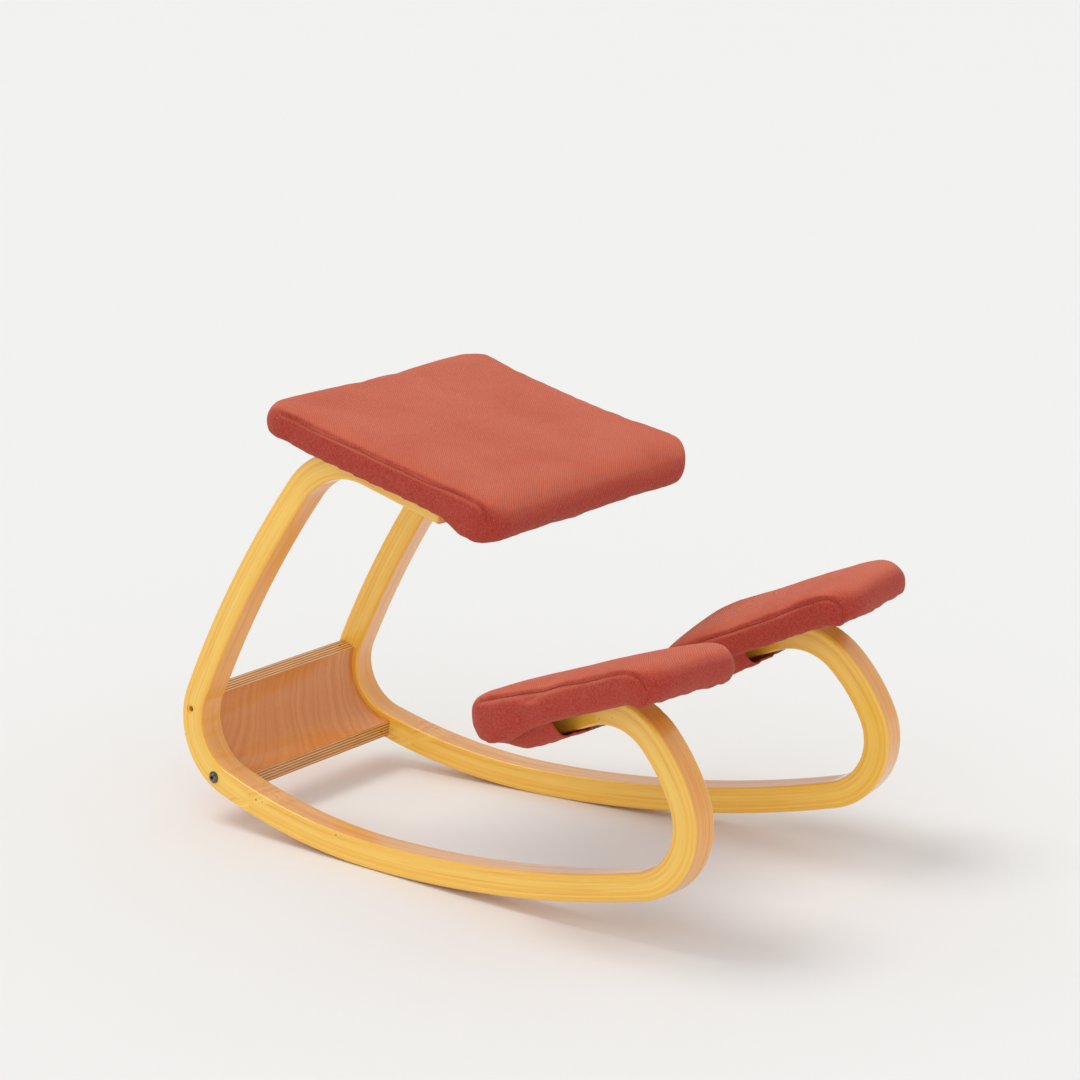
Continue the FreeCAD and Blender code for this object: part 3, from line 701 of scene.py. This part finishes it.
def stuff(pad, piece, cap, voxel):
    """Remeshes the form, blows it up as cloth and holds each point within the cap."""
    remesh = piece.modifiers.new("even", "REMESH")
    remesh.mode = "VOXEL"
    remesh.voxel_size = voxel * MM
    apply_modifiers(piece)
    start = [vertex.co.copy() for vertex in piece.data.vertices]
    held = [n for n, spot in enumerate(start) if pad.in_hollow(pad.local(spot))]
    group = piece.vertex_groups.new(name="held")
    group.add(held, 1.0, "REPLACE")
    cloth = piece.modifiers.new("stuffing", "CLOTH")
    rules = cloth.settings
    rules.quality = 5
    rules.mass = 0.2
    rules.tension_stiffness = 12.0
    rules.compression_stiffness = 12.0
    rules.shear_stiffness = 6.0
    rules.bending_stiffness = 2.0
    rules.use_pressure = True
    rules.uniform_pressure_force = STUFFING_PRESSURE
    rules.vertex_group_mass = "held"
    rules.effector_weights.gravity = 0.0
    cloth.point_cache.frame_end = STUFFING_FRAMES
    scene = bpy.context.scene
    for step in range(1, STUFFING_FRAMES + 1):
        scene.frame_set(step)
    apply_modifiers(piece)
    scene.frame_set(1)
    for vertex, spot in zip(piece.data.vertices, start):
        move = vertex.co - spot
        if move.length > cap * MM:
            vertex.co = spot + move.normalized() * cap * MM


def refine(piece):
    """Evens out the stuffed form and gives it a finer mesh."""
    smoother = piece.modifiers.new("relax", "SMOOTH")
    smoother.factor = 0.5
    smoother.iterations = 3
    finer = piece.modifiers.new("finer", "SUBSURF")
    finer.levels = 1
    finer.render_levels = 1
    apply_modifiers(piece)


def on_surface(pad, piece, path):
    """The path's points brought onto the piece, with its outward normals."""
    tree = BVHTree.FromPolygons([v.co for v in piece.data.vertices],
                                [p.vertices for p in piece.data.polygons])
    found = []
    for point in path:
        spot, normal, _, _ = tree.find_nearest(pad.out(point))
        found.append((spot, normal))
    for _ in range(8):
        calm = [found[0]]
        for before, here, after in zip(found, found[1:], found[2:]):
            spot = (before[0] + here[0] * 2 + after[0]) / 4
            calm.append((spot, (before[1] + here[1] * 2 + after[1]).normalized()))
        found = calm + [found[-1]]
    return found


def sew(piece, lines):
    """Draws the cloth in along the seams, with a slight welt beside each."""
    tree = kdtree.KDTree(sum(len(line) for line in lines))
    count = 0
    for line in lines:
        for spot, _ in line:
            tree.insert(spot, count)
            count += 1
    tree.balance()
    normals = [vertex.normal.copy() for vertex in piece.data.vertices]
    for vertex, normal in zip(piece.data.vertices, normals):
        _, _, far = tree.find(vertex.co)
        far /= MM
        if far < 14.0:
            pull = -1.1 * math.exp(-(far / 2.4) ** 2) + 0.25 * math.exp(-((far - 5.0) / 2.6) ** 2)
            vertex.co += normal * pull * MM


def ruffle(pad, piece):
    """Soft unevenness over the whole piece and gathers in the cloth under both lips."""
    gather = pad.form["gather"]
    seed = Vector((3.0, 7.0, 11.0 + 5.0 * pad.form["outer"]))
    normals = [vertex.normal.copy() for vertex in piece.data.vertices]
    for vertex, normal in zip(piece.data.vertices, normals):
        point = pad.local(vertex.co)
        if pad.in_hollow(point):
            continue
        lift = 0.7 * noise.noise(point * 0.022 + seed) + 0.25 * noise.noise(point * 0.07 + seed)
        low = smooth((pad.form["skirt"] + 5.0 - point.z) / 9.0)
        fold = noise.noise(Vector((point.x * 0.06, point.y * 0.07, 0.0)) + seed)
        fold += 0.5 * noise.noise(Vector((point.x * 0.12, point.y * 0.14, 2.0)) + seed)
        lift += gather * low * fold * 2.0
        vertex.co += normal * lift * MM


def gathered_cloth(pad, piece):
    """The slack cover drawn together under the arm's end, added to the cushion's own mesh."""
    rear, front, half_width, low, thick = pad.form["under_cloth"]
    rows, columns = 26, 40
    mesh = bmesh.new()
    mesh.from_mesh(piece.data)
    sheets = []
    for layer in (0.0, thick):
        sheet = []
        for row in range(rows + 1):
            along = row / rows
            line = []
            for column in range(columns + 1):
                b = half_width * (2 * column / columns - 1)
                a = rear + (front - rear) * along
                a += 3.0 * noise.noise(Vector((b * 0.09, 5.0, 1.0))) * along
                edge = pad.form["skirt"] + 2.0
                sink = smooth(along * 2.6)
                depth = low * sink + pad.under(a) * (1 - sink)
                depth += 3.0 * smooth(along * 2.0 - 1.0)
                hang = smooth((half_width - abs(b)) / (half_width * 0.3))
                fold = 1.1 * math.sin(b * 0.42 + 3.0 * noise.noise(Vector((a * 0.05, 0.0, 3.0))))
                fold += 2.0 * noise.noise(Vector((a * 0.07, b * 0.07, 9.0)))
                c = edge + (depth - edge) * hang + fold * 0.6 * hang
                line.append(mesh.verts.new(pad.out((a, b, c + layer))))
            sheet.append(line)
        sheets.append(sheet)
    under, over = sheets
    for row in range(rows):
        for column in range(columns):
            for sheet in sheets:
                mesh.faces.new((sheet[row][column], sheet[row][column + 1],
                                sheet[row + 1][column + 1], sheet[row + 1][column]))
    rim = [(0, column) for column in range(columns)]
    rim += [(row, columns) for row in range(rows)]
    rim += [(rows, column) for column in range(columns, 0, -1)]
    rim += [(row, 0) for row in range(rows, 0, -1)]
    for (row, column), (next_row, next_column) in zip(rim, rim[1:] + rim[:1]):
        mesh.faces.new((under[row][column], under[next_row][next_column],
                        over[next_row][next_column], over[row][column]))
    bmesh.ops.recalc_face_normals(mesh, faces=mesh.faces)
    mesh.to_mesh(piece.data)
    mesh.free()


def seam_piece(name, line, radius):
    """A thin sewn ridge that lies half in the cloth."""
    sides = 8
    mesh = bmesh.new()
    loops = []
    for number, (spot, normal) in enumerate(line):
        before = line[max(number - 1, 0)][0]
        after = line[min(number + 1, len(line) - 1)][0]
        ahead = (after - before).normalized()
        aside = ahead.cross(normal).normalized()
        out = aside.cross(ahead).normalized()
        heart = spot + normal * 0.15 * MM
        loop = []
        for side in range(sides):
            angle = 2 * math.pi * side / sides
            away = aside * math.cos(angle) + out * math.sin(angle)
            loop.append(mesh.verts.new(heart + away * radius * MM))
        loops.append(loop)
    for first, second in zip(loops, loops[1:]):
        for side in range(sides):
            after = (side + 1) % sides
            mesh.faces.new((first[side], first[after], second[after], second[side]))
    mesh.faces.new(loops[0][::-1])
    mesh.faces.new(loops[-1])
    bmesh.ops.recalc_face_normals(mesh, faces=mesh.faces)
    data = bpy.data.meshes.new(name)
    mesh.to_mesh(data)
    mesh.free()
    piece = bpy.data.objects.new(name, data)
    bpy.context.scene.collection.objects.link(piece)
    return piece


def even_line(line, gap):
    """The line's points at even steps, with their normals."""
    result = [line[0]]
    for spot, normal in line[1:]:
        last, last_normal = result[-1]
        run = (spot - last).length
        count = max(1, round(run / (gap * MM)))
        for step in range(1, count + 1):
            share = step / count
            result.append((last.lerp(spot, share), last_normal.lerp(normal, share).normalized()))
    return result


def make_pad(pad, cap, voxel, marks, lint):
    """The finished cushion and its seams; marks are dark snags and lint is pale."""
    piece = pad.closed_form()
    stuff(pad, piece, cap, voxel)
    refine(piece)
    ruffle(pad, piece)
    lines = []
    for path in pad.seam_paths():
        lines.append(even_line(on_surface(pad, piece, path), SEAM_STEP))
    sew(piece, lines)
    if "under_cloth" in pad.form:
        gathered_cloth(pad, piece)
    for polygon in piece.data.polygons:
        polygon.use_smooth = True
    piece.data.materials.clear()
    piece.data.materials.append(
        cloth_paint(pad.name + "_cloth", pad.turn, pad.spot, 1.0, marks, lint))
    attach(piece, "root")
    # The seams get the cloth darkened: painted shade along the drawn-in seams.
    thread = cloth_paint(pad.name + "_seam_painted_shade", pad.turn, pad.spot, 0.65)
    for number, path in enumerate(pad.seam_paths(), start=1):
        line = even_line(on_surface(pad, piece, path), SEAM_STEP)
        seam = seam_piece("%s_seam_%d" % (pad.name, number), line, SEAM_RADIUS)
        for polygon in seam.data.polygons:
            polygon.use_smooth = True
        seam.data.materials.append(thread)
        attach(seam, "root")
    return piece


seat_pad = Pad("seat_cushion", SEAT, SEAT["spot"], turned(*SEAT["turn"]))
seat = make_pad(seat_pad, SEAT_CAP, SEAT_VOXEL, [], LINT)
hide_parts("seat_cover", "seat_foam")

for side, word in ((-1, "right"), (1, "left")):
    form = dict(KNEE, outer=side)
    yaw, pitch, roll = KNEE_TURN
    turn = turned(side * yaw, pitch - side * KNEE_DIP, side * roll)
    spot = (KNEE_SPOT[0], side * KNEE_SPOT[1], KNEE_SPOT[2])
    pad = Pad(word + "_knee_cushion", form, spot, turn)
    knee = make_pad(pad, KNEE_CAP, KNEE_VOXEL, SNAG if side > 0 else [], [])
    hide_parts(word + "_knee_cover", word + "_knee_foam")


# Materials on the construction's own nodes

dress("runner_right", runner_paint(-1, RUNNER_MARKS))
dress("runner_left", runner_paint(1, []))
dress("rear_crosspiece", crosspiece_paint(KNOT))
plain_ply = plain_ply_paint()
steel = metal_paint("dark_steel", tone(138, 126, 116), tone(78, 70, 66), 0.3)
zinc = metal_paint("zinc_steel", tone(186, 188, 192), tone(140, 142, 150), 0.32)
brass = metal_paint("brass_insert", tone(200, 164, 96), tone(150, 112, 62), 0.35)
pins = metal_paint("crosspiece_pins", tone(74, 50, 38), tone(36, 24, 20), 0.6, 0.3)
for node in ("seat_board", "right_knee_board", "left_knee_board"):
    dress(node, plain_ply)
for node in ("frame_bolts", "seat_bolts", "right_knee_bolts", "left_knee_bolts"):
    dress(node, steel)
for node in ("seat_nuts", "right_knee_nuts", "left_knee_nuts"):
    dress(node, zinc)
dress("crosspiece_inserts", brass)
dress("crosspiece_pins", pins)


# Floor, light and camera

def make_floor():
    data = bpy.data.meshes.new("floor")
    reach = 30.0
    corners = [(-reach, -reach, 0), (reach, -reach, 0), (reach, reach, 0), (-reach, reach, 0)]
    data.from_pydata(corners, [], [(0, 1, 2, 3)])
    floor = bpy.data.objects.new("floor", data)
    bpy.context.scene.collection.objects.link(floor)
    paint = Paint("pale_floor")
    grime = paint.noise(paint.spot, 3.0, 4.0, 0.6)
    colour = paint.mix(grime, tone(244, 244, 242), tone(243, 243, 241))
    paint.set(Base_Color=colour, Roughness=0.9)
    data.materials.append(paint.material)


def make_lamp(name, spot, strength, spread):
    """A broad soft light that shines from the spot towards the middle of the floor."""
    data = bpy.data.lights.new(name, "SUN")
    data.angle = math.radians(spread)
    data.energy = strength
    lamp = bpy.data.objects.new(name, data)
    lamp.rotation_euler = (-Vector(spot)).to_track_quat("-Z", "Y").to_euler()
    bpy.context.scene.collection.objects.link(lamp)


def make_camera():
    """The photograph's viewing angle and framing."""
    azimuth = math.radians(36.0)
    elevation = math.radians(13.98)
    distance = 3.5628
    target = Vector((0.0244, 0.0, 0.3431))
    level = math.cos(elevation)
    away = Vector((level * math.sin(azimuth), -level * math.cos(azimuth), math.sin(elevation)))
    data = bpy.data.cameras.new("camera")
    data.lens = 111.3
    data.sensor_width = 36.0
    data.clip_end = 100.0
    camera = bpy.data.objects.new("camera", data)
    camera.location = target + away * distance
    camera.rotation_euler = (-away).to_track_quat("-Z", "Y").to_euler()
    bpy.context.scene.collection.objects.link(camera)
    bpy.context.scene.camera = camera


make_floor()
make_lamp("key", (-1.3, -0.5, 3.4), 0.85, 26.0)
make_lamp("fill", (2.2, -3.4, 1.9), 0.45, 55.0)
make_camera()

world = bpy.data.worlds.new("studio")
world.use_nodes = True
world.node_tree.nodes["Background"].inputs["Color"].default_value = (1.0, 1.0, 1.0, 1.0)
world.node_tree.nodes["Background"].inputs["Strength"].default_value = 0.68
bpy.context.scene.world = world
bpy.context.scene.view_settings.view_transform = "Standard"
